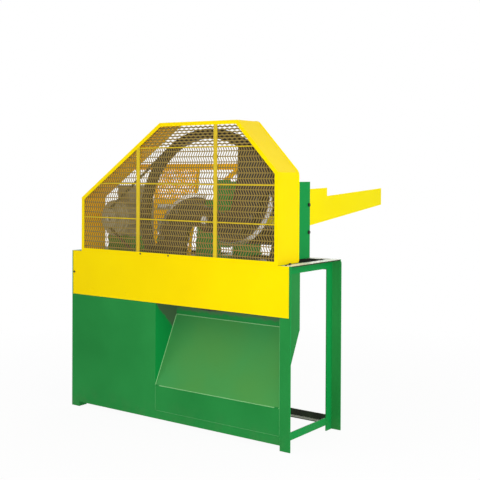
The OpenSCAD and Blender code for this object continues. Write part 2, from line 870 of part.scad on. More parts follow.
module bearing_stand() {
    foot = table_h + stand_base_t;
    hole_r = shaft_r + 6;
    place() color(green) {
        block([stand_left, bed_y, table_h], [stand_right, frame_d, foot]);
        difference() {
            across(bed_y, bed_y + post_t) polygon(post_outline);
            rod_y(wheel_x, wheel_z, hole_r, -1, big);
        }
        difference() {
            block([stand_left, rear_post_y, foot], [stand_right, rear_post_y + rear_post_t, rear_post_top]);
            rod_y(wheel_x, wheel_z, hole_r, -1, big);
        }
    }
}

module shaft_bearings() {
    flange_t = 8;
    place() color(iron) for (y = [bed_y + post_t, rear_post_y + rear_post_t]) difference() {
        union() {
            rod_y(wheel_x, wheel_z, shaft_r + 19, y, y + flange_t);
            rod_y(wheel_x, wheel_z, shaft_r + 11, y, y + bearing_len);
        }
        rod_y(wheel_x, wheel_z, shaft_r + run_gap, -1, big);
    }
}

// Single-start thread: an eccentric circle turned once for each lead, with its crest below at mid length
module feed_worm() {
    turns = worm_len / worm_lead;
    place() color(steel) translate([wheel_x, roller_y - worm_len / 2, wheel_z]) rotate([-90, 0, 0])
        difference() {
            rotate([0, 0, 90 - 180 * turns])
                linear_extrude(worm_len, twist = -360 * turns, slices = round(16 * turns), $fn = 20)
                    translate([worm_depth, 0]) circle(worm_pitch_r, $fn = 20);
            translate([0, 0, -1]) cylinder(h = worm_len + 2, r = shaft_r);
        }
}

// Feed
module roller_outline() {
    teeth = 12;
    root = roller_r - roller_tooth;
    polygon([for (k = [0:teeth - 1]) for (p = [[root, -9], [roller_r, -4], [roller_r, 4], [root, 9]])
        let(a = 360 * k / teeth + p[1]) p[0] * [cos(a), sin(a)]]);
}

module feed_roller(z) {
    play = 2;
    bush_len = 12;
    place() color(iron) {
        translate([0, roller_y, z]) along(throat_left + play, throat_right - play) roller_outline();
        rod_x(roller_y, z, journal_r, wheel_x - gear_w / 2 - 2, throat_right + bush_len + 2);
    }
}

module feed_roller_lower() { feed_roller(wheel_z - roller_offset); }
module feed_roller_upper() { feed_roller(wheel_z + roller_offset); }

module feed_gear(z, first) {
    root = gear_pitch_r - 6;
    tip = gear_pitch_r + 3.3;
    half_tooth = [4.2, 2.2, 0.8];
    flank = [[root, half_tooth[0]], [gear_pitch_r, half_tooth[1]], [tip, half_tooth[2]]];
    profile = concat([for (p = flank) [p[0], -p[1]]], [for (i = [2:-1:0]) flank[i]]);
    place() color(iron) difference() {
        translate([0, roller_y, z]) along(wheel_x - gear_w / 2, wheel_x + gear_w / 2)
            polygon([for (k = [0:gear_teeth - 1]) for (p = profile)
                let(a = first + 360 * k / gear_teeth + asin(p[1] / p[0])) p[0] * [cos(a), sin(a)]]);
        rod_x(roller_y, z, journal_r, -big, big);
    }
}

// A tooth of the upper gear points down into the thread, and a gap of the lower one points up to its crest
module feed_gear_lower() { feed_gear(wheel_z - roller_offset, 90 + gear_half_pitch); }
module feed_gear_upper() { feed_gear(wheel_z + roller_offset, -90); }

module throat_plate(x, recess) {
    bolt_x = [-big, big];
    toe_y = bed_y + recess * 1.3;
    toe = recess > 0 ? [[bed_y, table_h + recess], [toe_y, table_h + recess], [toe_y, table_h]]
        : [[bed_y, table_h]];
    place() color(green) difference() {
        along(x, x + throat_t) polygon(concat(toe, [
            [throat_end, table_h], [throat_end, table_h + throat_h], [bed_y, table_h + throat_h],
            [bed_y, wheel_z + nip + mouth_bar_h], [mouth_y, wheel_z + nip + mouth_bar_h],
            [mouth_y, wheel_z - nip - mouth_bar_h], [bed_y, wheel_z - nip - mouth_bar_h]
        ]));
        for (side = [-1, 1])
            rod_x(roller_y, wheel_z + side * roller_offset, journal_r + bush_t, bolt_x[0], bolt_x[1]);
        for (z = [bolt_low, bolt_high])
            rod_x(trough_bolt_y, z, trough_bolt_r, bolt_x[0], bolt_x[1]);
    }
}

module throat_plate_left() { throat_plate(throat_left - throat_t, throat_recess); }
module throat_plate_right() { throat_plate(throat_right, 0); }

module throat_mouth() {
    place() color(iron) for (z = [wheel_z - nip - mouth_bar_h, wheel_z + nip])
        block([throat_left, mouth_y, z], [throat_right, mouth_floor_end, z + mouth_bar_h]);
}

module roller_bushes() {
    bush_len = 12;
    place() color("#b08d4a") for (side = [-1, 1])
        for (x = [throat_left - bush_len, throat_right]) difference() {
            rod_x(roller_y, wheel_z + side * roller_offset, journal_r + bush_t, x, x + bush_len);
            rod_x(roller_y, wheel_z + side * roller_offset, journal_r + run_gap, -big, big);
        }
}

// Height of the trough's floor at a depth
function trough_floor(y) = trough_z + (y - throat_end) * trough_slope;

module feed_trough() {
    tall_end = throat_end + trough_tall_len;
    tall_top = trough_floor(throat_end) + trough_wall;
    low_top = trough_floor(tall_end) + trough_end_wall + 18;
    under = [
        [throat_end - trough_lap, trough_skirt], [throat_end, trough_skirt],
        [throat_end, trough_floor(throat_end) - 15], [trough_end, trough_floor(trough_end)]
    ];
    place() color(yellow) difference() {
        union() {
            along(throat_left, throat_right) polygon([
                [trough_floor_start, trough_floor(trough_floor_start)],
                [trough_floor_start, trough_floor(trough_floor_start) + trough_t],
                [trough_end, trough_floor(trough_end) + trough_t], [trough_end, trough_floor(trough_end)]
            ]);
            along(throat_left, throat_left + trough_t)
                polygon(concat(under, [
                    [trough_end, trough_floor(trough_end) + trough_left_wall],
                    [throat_end - trough_lap, bolt_high + 20]
                ]));
            along(throat_right - trough_t, throat_right) polygon(concat(under, [
                [trough_end, trough_floor(trough_end) + trough_end_wall], [tall_end, low_top],
                [tall_end, tall_top + trough_tall_len * 0.03], [throat_end, tall_top],
                [throat_end - trough_lap, tall_top]
            ]));
        }
        for (z = [bolt_low, bolt_high])
            rod_x(trough_bolt_y, z, trough_bolt_r, -big, big);
    }
}

module trough_bolts() {
    head_h = 6;
    place() color(black) for (z = [bolt_low, bolt_high]) {
        for (side = [-1, 1]) {
            x_in = side > 0 ? throat_right - trough_t : throat_left + trough_t;
            x_out = x_in + side * (trough_t + throat_t);
            rod_x(trough_bolt_y, z, trough_bolt_r, min(x_in, x_out), max(x_in, x_out));
            translate([side > 0 ? x_out : x_out - head_h, trough_bolt_y, z]) rotate([0, 90, 0])
                cylinder(h = head_h, r = trough_bolt_r * 1.7, $fn = 6);
        }
    }
}

leg_front_left();
leg_front_right();
leg_rear_left();
leg_rear_right();
top_rail_front();
top_rail_rear();
top_rail_left();
top_rail_right();
bottom_rail_front();
bottom_rail_rear();
bottom_rail_left();
bottom_rail_right();
bed_beam();
front_panel_left();
front_panel_lower();
chute_slide();
chute_back();
chute_left_wall();
chute_right_wall();
apron();
guard_hood();
guard_front_frame();
guard_mesh();
guard_bars();
guard_rods();
rear_guard_bars();
rear_guard_panel();
rear_tie_rod();
cover_screws();
motor_rails();
motor_frame();
motor_front_bell();
motor_rear_bell();
motor_fan_cover();
motor_fan();
motor_stator();
motor_rotor();
motor_pulley();
terminal_box();
motor_bolts();
drive_belt();
main_shaft();
knife_wheel();
knife_one();
knife_two();
knife_bolts();
wheel_nut();
bearing_stand();
shaft_bearings();
feed_worm();
feed_roller_lower();
feed_roller_upper();
feed_gear_lower();
feed_gear_upper();
throat_plate_left();
throat_plate_right();
throat_mouth();
roller_bushes();
feed_trough();
trough_bolts();
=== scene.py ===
import bpy
import json
import math
import numpy as np
from mathutils import Matrix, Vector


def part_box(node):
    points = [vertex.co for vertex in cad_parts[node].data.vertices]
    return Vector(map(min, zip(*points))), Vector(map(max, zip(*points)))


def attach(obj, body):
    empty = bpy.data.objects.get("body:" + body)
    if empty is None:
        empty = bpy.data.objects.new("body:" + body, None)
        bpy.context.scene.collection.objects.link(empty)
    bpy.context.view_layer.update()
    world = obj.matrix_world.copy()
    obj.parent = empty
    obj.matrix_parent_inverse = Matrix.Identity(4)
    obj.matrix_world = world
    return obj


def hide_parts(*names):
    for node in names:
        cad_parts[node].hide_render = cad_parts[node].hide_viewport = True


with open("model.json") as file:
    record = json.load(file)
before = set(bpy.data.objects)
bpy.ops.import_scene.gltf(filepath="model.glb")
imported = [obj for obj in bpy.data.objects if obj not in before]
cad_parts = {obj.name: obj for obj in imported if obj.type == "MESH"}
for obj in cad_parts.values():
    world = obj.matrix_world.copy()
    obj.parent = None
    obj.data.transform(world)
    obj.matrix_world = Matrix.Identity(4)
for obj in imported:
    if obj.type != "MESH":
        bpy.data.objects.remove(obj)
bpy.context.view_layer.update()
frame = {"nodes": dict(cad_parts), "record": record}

parts = frame["nodes"]
scene = bpy.context.scene


def span(name):  # lowest and highest corner of a node as arrays
    lo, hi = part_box(name)
    return np.array(lo), np.array(hi)


frontY = span("leg_front_right")[0][1]  # the stand's front face
wheelMid = sum(span("knife_wheel")) / 2
motorMid = sum(span("motor_front_bell")) / 2
hoodLo, hoodHi = span("guard_hood")


def placed(data, side, up, ahead, eye):  # a camera or lamp that looks ahead from the eye
    obj = bpy.data.objects.new(data.name, data)
    obj.matrix_world = Matrix([[side[k], up[k], -ahead[k], eye[k]] for k in range(3)] + [[0, 0, 0, 1]])
    scene.collection.objects.link(obj)
    return obj


# camera, solved from the stand's and the guard's corners
viewpoint = {"eye": (2.6096, -3.0306, 1.1307), "yaw": 36.316, "pitch": 0.583, "roll": 0.253,
             "focalPx": 887.2, "framePx": 480, "riseShiftPx": 55.0, "sensor": 36}


def makeCamera(s):
    yaw, pitch, roll = (math.radians(s[k]) for k in ("yaw", "pitch", "roll"))
    ahead = np.array([-math.sin(yaw) * math.cos(pitch), math.cos(yaw) * math.cos(pitch), -math.sin(pitch)])
    level = np.array([math.cos(yaw), math.sin(yaw), 0.0])
    rise = np.cross(level, ahead)
    side = math.cos(roll) * level + math.sin(roll) * rise
    up = math.cos(roll) * rise - math.sin(roll) * level
    data = bpy.data.cameras.new("camera")
    data.sensor_width = s["sensor"]
    data.lens = s["sensor"] * s["focalPx"] / s["framePx"]
    data.shift_y = -s["riseShiftPx"] / s["framePx"]
    scene.camera = placed(data, side, up, ahead, np.array(s["eye"]) + (0, frontY, 0))
    print("camera: lens %.1f mm" % data.lens)


makeCamera(viewpoint)


# node helpers for the finishes
def setInputs(tree, n, values):  # links the sockets among the values and sets the constants
    for key, val in values.items():
        if isinstance(val, bpy.types.NodeSocket):
            tree.links.new(val, n.inputs[key])
        else:
            n.inputs[key].default_value = val


def node(tree, kind, values=None, **props):
    n = tree.nodes.new(kind)
    for key, val in props.items():
        setattr(n, key, val)
    setInputs(tree, n, values or {})
    return n


def newFinish(name):
    mat = bpy.data.materials.new(name)
    mat.use_nodes = True
    tree = mat.node_tree
    return mat, tree, tree.nodes["Principled BSDF"], node(tree, "ShaderNodeTexCoord").outputs["Object"]


def blendColour(tree, share, a, b):  # colour a where the share is 0, b where it is 1
    a, b = ((*c, 1) if isinstance(c, tuple) else c for c in (a, b))
    return node(tree, "ShaderNodeMix", {0: share, 6: a, 7: b}, data_type="RGBA").outputs[2]


def ranged(tree, value, lowIn, highIn, lowOut=0.0, highOut=1.0):
    values = {0: value, 1: lowIn, 2: highIn, 3: lowOut, 4: highOut}
    return node(tree, "ShaderNodeMapRange", values).outputs[0]


def maths(tree, operation, a, b):
    return node(tree, "ShaderNodeMath", {0: a, 1: b}, operation=operation).outputs[0]


def vectors(tree, operation, *values):  # a vector, or the value of a length or a dot product
    n = node(tree, "ShaderNodeVectorMath", dict(enumerate(values)), operation=operation)
    return n.outputs["Value" if operation in ("LENGTH", "DOT_PRODUCT") else "Vector"]


def stretched(tree, where, scale):
    return node(tree, "ShaderNodeMapping", {"Vector": where, "Scale": scale}).outputs[0]


def grain(tree, where, scale, detail, rough=0.5):
    values = {"Vector": where, "Scale": scale, "Detail": detail, "Roughness": rough}
    return node(tree, "ShaderNodeTexNoise", values).outputs[0]


# layer: scale and detail of a noise, the two values that become low and high, and at times its roughness
def mottle(tree, where, layer, lowOut=0.0, highOut=1.0):
    scale, detail, lowIn, highIn, *rough = layer
    return ranged(tree, grain(tree, where, scale, detail, *rough), lowIn, highIn, lowOut, highOut)


def bumpy(tree, bsdf, layers):  # layers of (height, strength, distance), finest last
    normal = None
    for height, strength, distance in layers:
        values = {"Height": height, "Strength": strength, "Distance": distance}
        if normal is not None:
            values["Normal"] = normal
        normal = node(tree, "ShaderNodeBump", values).outputs[0]
    setInputs(tree, bsdf, {"Normal": normal})


# sprayed enamel: slow colour drift, dust near the floor, faint waves of thin sheet and orange peel
enamels = {
    # the yellow's inner colour is painted shade and bounced light for the inside of the hood
    "yellow_paint": {"colour": (0.86, 0.655, 0.001), "deep": (0.83, 0.612, 0.001), "dust": (0.62, 0.47, 0.10),
                     "paintedInnerShade": (1.0, 0.50, 0.001), "rough": 0.36, "wave": 0.10, "peel": 0.05,
                     "shine": 0.05, "tint": (1.0, 0.74, 0.02)},
    "green_paint": {"colour": (0.022, 0.240, 0.052), "deep": (0.016, 0.195, 0.040), "dust": (0.10, 0.17, 0.075),
                    "rough": 0.34, "wave": 0.12, "peel": 0.06, "shine": 0.05, "tint": (0.12, 0.80, 0.28)},
    "motor_paint": {"colour": (0.245, 0.225, 0.165), "deep": (0.190, 0.170, 0.120), "dust": (0.20, 0.15, 0.09),
                    "rough": 0.46, "wave": 0.02, "peel": 0.10, "shine": 0.3, "tint": (1.0, 1.0, 1.0)},
    # the mesh's dull tan stands for its yellow strands in shade: painted shade, with dirt
    "mesh_paint": {"colour": (0.26, 0.185, 0.050), "deep": (0.225, 0.158, 0.040), "dust": (0.19, 0.13, 0.05),
                   "rough": 0.50, "wave": 0.0, "peel": 0.05, "shine": 0.1, "tint": (1.0, 1.0, 1.0)},
}
enamelGrain = {"drift": (2.6, 4.0, 0.35, 0.68), "ragged": (40.0, 3.0, 0.3, 0.7), "dust": (17.0, 5.0, 0.42, 0.70),
               "speck": (190.0, 2.0, 0.66, 0.74), "patch": (6.0, 3.0, 0.5, 0.7), "sheen": (9.0, 5.0, 0.3, 0.7),
               "wave": (3.3, 1.0), "peel": (430.0, 1.0)}
enamelWearAndLight = {"dustHeight": 0.12, "dustShare": 0.22, "speckShare": 0.35, "raggedBy": 0.006,
              "shadeEdge": (-0.004, 0.008), "turned": (0.5, 0.6), "heartEdge": (0.0, 0.01),
              "waveDepth": 0.02, "peelDepth": 0.001, "smoother": 0.07, "rougher": 0.09}


def makeEnamel(name, s, heart=None):  # faces turned toward the heart, if given, take a warmer orange: painted shade and bounced light inside
    mat, tree, bsdf, where = newFinish(name)
    facing = node(tree, "ShaderNodeNewGeometry").outputs["True Normal"]
    layers, wearAndLight = enamelGrain, enamelWearAndLight

    def looking(way):  # 1 on the faces that look one way
        return ranged(tree, vectors(tree, "DOT_PRODUCT", facing, way), *wearAndLight["turned"])

    body = blendColour(tree, mottle(tree, where, layers["drift"]), s["colour"], s["deep"])
    if heart is not None:
        toward = vectors(tree, "DOT_PRODUCT", vectors(tree, "SUBTRACT", tuple(heart), where), facing)
        body = blendColour(tree, ranged(tree, toward, *wearAndLight["heartEdge"]), body, s["paintedInnerShade"])
    for way, colour in s.get("faces", ()):  # painted light on one side, such as painted shade, a painted reflection and a lit, sheen-free green
        body = blendColour(tree, looking(way), body, colour)
    for side, way, start, colour in s.get("patches", ()):  # painted shade on one side, beyond a plane with a ragged edge
        ragged = mottle(tree, where, layers["ragged"], -wearAndLight["raggedBy"], wearAndLight["raggedBy"])
        past = maths(tree, "ADD", vectors(tree, "DOT_PRODUCT", where, way), ragged)
        shaded = ranged(tree, past, *(start + edge for edge in wearAndLight["shadeEdge"]))
        body = blendColour(tree, maths(tree, "MULTIPLY", looking(side), shaded), body, colour)
    height = node(tree, "ShaderNodeSeparateXYZ", {0: where}).outputs[2]
    low = ranged(tree, height, 0.0, wearAndLight["dustHeight"], wearAndLight["dustShare"], 0.0)
    dusty = maths(tree, "MULTIPLY", low, mottle(tree, where, layers["dust"]))
    specks = maths(tree, "MULTIPLY", mottle(tree, where, layers["speck"], 0.0, wearAndLight["speckShare"]),
                   mottle(tree, where, layers["patch"]))
    rough = s["rough"] - wearAndLight["smoother"], s["rough"] + wearAndLight["rougher"]
    setInputs(tree, bsdf, {
        "Base Color": blendColour(tree, specks, blendColour(tree, dusty, body, s["dust"]), s["dust"]),
        "Roughness": mottle(tree, where, layers["sheen"], *rough),
        "Specular IOR Level": s["shine"], "Specular Tint": (*s["tint"], 1)})
    bumpy(tree, bsdf, [(grain(tree, where, *layers[k]), s[k], wearAndLight[k + "Depth"]) for k in ("wave", "peel")])
    return mat


def tinted(name, base, colour, deep):  # an enamel in two other colours
    return makeEnamel(name, {**enamels[base], "colour": colour, "deep": deep})


finishes = {name: makeEnamel(name, s) for name, s in enamels.items()}
# yellow for the hood, rear bars and rear mesh, with painted shade and bounced light on the faces turned inward
guardPaintInnerShade = makeEnamel("guard_paint_inner_shade", enamels["yellow_paint"], (hoodLo + hoodHi) / 2)
# the trough's yellow is paler, the flats and rods before the mesh are dulled, and the motor's front end is a
# lighter grey
troughPaint = tinted("trough_paint", "yellow_paint", (0.86, 0.735, 0.001), (0.84, 0.700, 0.001))
barPaint = tinted("bar_paint", "yellow_paint", (0.64, 0.475, 0.022), (0.53, 0.375, 0.028))
bellPaint = tinted("bell_paint", "motor_paint", (0.33, 0.30, 0.22), (0.27, 0.245, 0.175))

# green pieces with their own painted light and tone; the right-hand faces are painted a brighter, purer green that
# stands for the light and lesser sheen they get
toRight, toFront, toTop = (1.0, 0.0, 0.0), (0.0, -1.0, 0.0), (0.0, 0.0, 1.0)
# colours of painted light: a lit, sheen-free green, a pale painted reflection and a dark green painted shade
paintedLitGreen, paintedReflectionPale, paintedChuteShade = (0.006, 0.262, 0.052), (0.82, 0.82, 0.79), (0.068, 0.140, 0.064)
# painted shade for the rails' dark inner faces, and a grey painted reflection for their tops
paintedShadeDark, paintedReflectionGrey = (0.024, 0.026, 0.021), (0.55, 0.54, 0.50)
shadePlane = {"rise": 0.975, "wall": 0.542, "back": 0.503}
greenWearAndLight = {
    # painted light: these pieces' right-hand faces are painted a brighter, sheen-free green
    **dict.fromkeys(("leg_front_right", "leg_rear_right", "bottom_rail_right", "throat_plate_right"),
                    {"faces": [(toRight, paintedLitGreen)]}),
    # painted shade on the rear rails' front faces, and a painted reflection of the white surround on their tops
    **dict.fromkeys(("top_rail_rear", "bottom_rail_rear"), {"faces": [(toFront, paintedShadeDark), (toTop, paintedReflectionGrey)]}),
    # painted reflection of the white surround on the right rail's top, and its right-hand face painted brighter
    "top_rail_right": {"faces": [(toRight, paintedLitGreen), (toTop, paintedReflectionPale)]},
    # painted shade on the bed beam's top
    "bed_beam": {"faces": [(toTop, paintedShadeDark)]},
    # the slide is painted a lighter green, partly painted sheen of its upward-tilted face and partly worn dust
    "chute_slide": {"colour": (0.046, 0.272, 0.072), "deep": (0.066, 0.258, 0.058)},
    # painted shade under the apron on the chute's back and on the left wall's upper rear corner, whose right-hand
    # face is also painted brighter
    "chute_back": {"patches": [(toFront, toTop, shadePlane["back"], paintedChuteShade)]},
    "chute_left_wall": {"faces": [(toRight, paintedLitGreen)],
                        "patches": [(toRight, (0.0, shadePlane["rise"], 1.0),
                                     shadePlane["wall"] + shadePlane["rise"] * frontY, paintedChuteShade)]},
}
greenWearAndLightPaint = {name: makeEnamel(name + "_paint", {**enamels["green_paint"], **s}) for name, s in greenWearAndLight.items()}


# cast iron: sand-cast skin with brown rust bloom
ironLook = {"dark": (0.022, 0.018, 0.014), "brown": (0.070, 0.042, 0.022), "rough": (0.48, 0.74), "metal": 0.35,
            "bloom": (14.0, 6.0, 0.45, 0.75, 0.6), "lumps": (60.0, 4.0), "lumpBump": (0.25, 0.002),
            "sand": (520.0, 2.0), "sandBump": (0.22, 0.0006)}


def makeIron(s):
    mat, tree, bsdf, where = newFinish("dark_iron")
    bloom = mottle(tree, where, s["bloom"])
    setInputs(tree, bsdf, {"Base Color": blendColour(tree, bloom, s["dark"], s["brown"]),
                           "Roughness": ranged(tree, bloom, 0.0, 1.0, *s["rough"]), "Metallic": s["metal"]})
    bumpy(tree, bsdf, [(grain(tree, where, *s["lumps"]), *s["lumpBump"]),
                       (grain(tree, where, *s["sand"]), *s["sandBump"])])
    return mat


finishes["dark_iron"] = makeIron(ironLook)


# bare metals: turned or drawn surface with fine lines along one way
metals = {
    "bare_steel": {"bright": (0.58, 0.58, 0.57), "dull": (0.36, 0.35, 0.33), "rough": (0.22, 0.44),
                   "lines": (40.0, 900.0, 40.0)},
    "dark_steel": {"bright": (0.060, 0.056, 0.050), "dull": (0.030, 0.027, 0.024), "rough": (0.34, 0.56),
                   "lines": (300.0, 300.0, 300.0)},
    "bush_bronze": {"bright": (0.52, 0.33, 0.11), "dull": (0.30, 0.17, 0.06), "rough": (0.25, 0.47),
                    "lines": (700.0, 60.0, 60.0)},
}
metalGrain = {"tarnish": (22.0, 5.0, 0.4, 0.7), "lineDetail": 3.0, "lineRange": (0.2, 0.8),
              "lineBump": (0.12, 0.0005)}


def makeMetal(name, s):
    mat, tree, bsdf, where = newFinish(name)
    lines = grain(tree, stretched(tree, where, s["lines"]), 1.0, metalGrain["lineDetail"])
    tarnish = mottle(tree, where, metalGrain["tarnish"])
    setInputs(tree, bsdf, {"Base Color": blendColour(tree, tarnish, s["bright"], s["dull"]), "Metallic": 1.0,
                           "Roughness": ranged(tree, lines, *metalGrain["lineRange"], *s["rough"])})
    bumpy(tree, bsdf, [(lines, *metalGrain["lineBump"])])
    return mat


finishes.update({name: makeMetal(name, s) for name, s in metals.items()})
oiledLook = {**metals["dark_steel"], "bright": (0.15, 0.13, 0.11), "dull": (0.08, 0.066, 0.052)}
oiledSteel = makeMetal("oiled_steel", oiledLook)


# moulded black plastic and belt rubber
blacks = {
    "fan_plastic": {"colour": (0.020, 0.020, 0.021), "worn": (0.045, 0.043, 0.042), "rough": (0.48, 0.60),
                    "grain": (300.0, 2.0)},
    "belt_rubber": {"colour": (0.016, 0.016, 0.016), "worn": (0.062, 0.058, 0.052), "rough": (0.72, 0.84),
                    "grain": (700.0, 2.0)},
}
blackWear = {"rub": (30.0, 5.0, 0.48, 0.72), "grainBump": (0.25, 0.0005)}


def makeBlack(name, s):
    mat, tree, bsdf, where = newFinish(name)
    rub = mottle(tree, where, blackWear["rub"])
    setInputs(tree, bsdf, {"Base Color": blendColour(tree, rub, s["colour"], s["worn"]),
                           "Roughness": ranged(tree, rub, 0.0, 1.0, *s["rough"])})
    bumpy(tree, bsdf, [(grain(tree, where, *s["grain"]), *blackWear["grainBump"])])
    return mat


finishes.update({name: makeBlack(name, s) for name, s in blacks.items()})


# knife steel: dark flat with a bright ground bevel along the curved edge
knifeLook = {"centre": (0.0899, 0.1218), "edge": 0.238, "bevel": 0.017, "blend": 0.001,
             "flat": (0.085, 0.075, 0.062), "rust": (0.115, 0.070, 0.040), "ground": (0.80, 0.79, 0.76),
             "rough": (0.50, 0.24), "metal": 0.9, "bloom": (26.0, 6.0, 0.45, 0.72, 0.6),
             "lines": (500.0, 60.0, 500.0), "lineDetail": 2.0, "lineBump": (0.15, 0.0006)}


def makeKnifeSteel(name, way, s):
    mat, tree, bsdf, where = newFinish(name)
    centre = (wheelMid[0] + way * s["centre"][0], 0.0, wheelMid[2] + way * s["centre"][1])
    flat = vectors(tree, "MULTIPLY", vectors(tree, "SUBTRACT", where, centre), (1.0, 0.0, 1.0))
    start = s["edge"] - s["bevel"]
    onBevel = ranged(tree, vectors(tree, "LENGTH", flat), start - s["blend"], start + s["blend"])
    rusty = blendColour(tree, mottle(tree, where, s["bloom"]), s["flat"], s["rust"])
    setInputs(tree, bsdf, {"Base Color": blendColour(tree, onBevel, rusty, s["ground"]),
                           "Roughness": ranged(tree, onBevel, 0.0, 1.0, *s["rough"]), "Metallic": s["metal"]})
    lines = grain(tree, stretched(tree, where, s["lines"]), 1.0, s["lineDetail"])
    bumpy(tree, bsdf, [(lines, *s["lineBump"])])
    return mat


ownFinish = {
    "knife_one": makeKnifeSteel("knife_steel_one", 1, knifeLook),
    "knife_two": makeKnifeSteel("knife_steel_two", -1, knifeLook),
    "feed_trough": troughPaint,
    **dict.fromkeys(("guard_hood", "rear_guard_bars"), guardPaintInnerShade),
    **dict.fromkeys(("guard_bars", "guard_rods"), barPaint),
    **dict.fromkeys(("motor_front_bell", "motor_pulley"), bellPaint),
    **dict.fromkeys(("knife_bolts", "wheel_nut"), oiledSteel),
    **greenWearAndLightPaint,
}

slotOf = {p["node"]: p["material_slot"] for p in frame["record"]["subparts"]}
for name, obj in parts.items():
    obj.data.materials.clear()
    obj.data.materials.append(ownFinish.get(name, finishes[slotOf[name]]))
print("finishes:", len(finishes) + len(ownFinish))


# pieces are made from whole arrays of points, quads and, for beads, end caps
def addPiece(name, points, quads, slotName, finish=None, smooth=False, caps=()):
    mesh = bpy.data.meshes.new(name)
    mesh.from_pydata(points.reshape(-1, 3).tolist(), [], quads.tolist() + np.asarray(caps, int).tolist())
    mesh.materials.append(finish or finishes[slotName])
    mesh.polygons.foreach_set("use_smooth", np.full(len(mesh.polygons), smooth))
    mesh.update()
    obj = bpy.data.objects.new(name, mesh)
    scene.collection.objects.link(obj)
    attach(obj, "machine")
    return obj


def gridFaces(rows, cols, wrapRows, wrapCols):  # quads over a grid of points, closed where asked
    r, c = np.mgrid[0:rows if wrapRows else rows - 1, 0:cols if wrapCols else cols - 1]
    r2, c2 = (r + 1) % rows, (c + 1) % cols
    return np.stack([r * cols + c, r2 * cols + c, r2 * cols + c2, r * cols + c2], -1).reshape(-1, 4)


barFaces = np.array([[0, 3, 2, 1], [4, 5, 6, 7], [0, 1, 5, 4], [1, 2, 6, 5], [2, 3, 7, 6], [3, 0, 4, 7]])


def manyBars(corners):  # corners (n, 8, 3), four at each end; returns points and quads
    first = np.arange(len(corners))[:, None, None] * 8
    return corners.reshape(-1, 3), (first + barFaces[None]).reshape(-1, 4)


def joined(shapes):  # several (points, faces) as one
    points, faces, base = [], [], 0
    for p, f in shapes:
        points.append(p.reshape(-1, 3))
        faces.append(f + base)
        base += len(points[-1])
    return np.concatenate(points), np.concatenate(faces)


def equalTurns(around):  # angles of a full circle
    return np.linspace(0, 2 * math.pi, around, False)


def ringAbout(axis, askew, around):  # a unit circle square to the axis; askew is any way that isn't along it
    first = np.cross(axis, askew)
    first /= np.linalg.norm(first)
    turn = equalTurns(around)
    return np.cos(turn)[:, None] * first + np.sin(turn)[:, None] * np.cross(axis, first)


# expanded metal: slit rows pulled apart, every strand a straight bar that leans a little out of the sheet
sheetLook = {"thick": 0.0012, "least": 0.03}  # least: the smallest share of a cut strand that is kept
guardMeshLook = {**sheetLook, "row": 0.0237, "column": 0.0135, "slant": 0.0110, "band": 0.0041, "strand": 0.0038,
                 "lean": 33.0, "bandLean": 12.0, "overrun": 0.01}
stripMeshLook = {**sheetLook, "longWay": 0.0267, "row": 0.0126, "wave": 0.0024, "strand": 0.0070, "lean": 12.0}
rearMeshLook = {**sheetLook, "longWay": 0.028, "shortWay": 0.0168, "strand": 0.0056, "lean": 33.0,
                "edgeLean": 0.0192}


def insideNormals(outline):  # each edge's direction turned a quarter to the left
    d = np.roll(outline, -1, 0) - outline
    return np.stack([-d[:, 1], d[:, 0]], 1) / np.linalg.norm(d, axis=1)[:, None]


def cutAt(outline, height, keepLow):  # the part of a convex outline below or above a height
    kept = []
    for p, q in zip(outline, np.roll(outline, -1, 0)):
        if (p[1] < height) == keepLow:
            kept.append(p)
        if (p[1] < height) != (q[1] < height):
            kept.append(p + (q - p) * (height - p[1]) / (q[1] - p[1]))
    return np.array(kept)


def strandBars(a, b, width, lean, level, outline, sheetAt, s):
    # each line a to b is cut where it crosses an edge of the outline, then given a flat section turned by the lean
    t0, t1 = np.zeros(len(a)), np.ones(len(a))
    for corner, n in zip(outline, insideNormals(outline)):
        da, db = (a - corner) @ n, (b - corner) @ n
        cut = da / np.where(da == db, 1, da - db)
        t0 = np.where((da < 0) & (db > 0), np.maximum(t0, cut), t0)
        t1 = np.where((da > 0) & (db < 0), np.minimum(t1, cut), t1)
        t1 = np.where((da <= 0) & (db <= 0), -1, t1)
    keep = t1 - t0 > s["least"]
    a, b, t0, t1 = a[keep], b[keep], t0[keep, None], t1[keep, None]
    p, q = a + (b - a) * t0, a + (b - a) * t1
    along = (b - a) / np.linalg.norm(b - a, axis=1)[:, None]
    over = np.stack([-along[:, 1], along[:, 0]], 1)
    over *= -np.sign(over[:, 1:] if level else over[:, :1])
    lean = math.radians(lean)
    section = np.array([[-0.5, -0.5], [0.5, -0.5], [0.5, 0.5], [-0.5, 0.5]]) * (width, s["thick"])
    inPlane = section[:, 0] * math.cos(lean) - section[:, 1] * math.sin(lean)
    forward = section[:, 0] * math.sin(lean) + section[:, 1] * math.cos(lean)
    flat = np.concatenate([end[:, None] + over[:, None] * inPlane[None, :, None] for end in (p, q)], 1)
    depth = np.broadcast_to(sheetAt - np.tile(forward, 2), flat.shape[:2])
    return manyBars(np.stack([flat[..., 0], depth, flat[..., 1]], -1))


def slantedRows(outline, sheetAt, s):  # level bands, and between them strands that slant left and right by turns
    lo, hi = outline.min(0), outline.max(0)
    z = np.arange(lo[1] - s["row"], hi[1] + s["row"], s["row"])
    bands = [np.stack([np.full(len(z), x), z], -1) for x in (lo[0] - s["overrun"], hi[0] + s["overrun"])]
    x = np.arange(lo[0] - 2 * s["column"], hi[0] + s["column"], s["column"])
    row, foot = np.meshgrid(np.arange(len(z)), x, indexing="ij")
    ends = [np.stack([foot + (row + k) % 2 * s["slant"], z[row] + k * s["row"]], -1).reshape(-1, 2)
            for k in (0, 1)]
    return joined([strandBars(*bands, s["band"], s["bandLean"], True, outline, sheetAt, s),
                   strandBars(*ends, s["strand"], s["lean"], False, outline, sheetAt, s)])


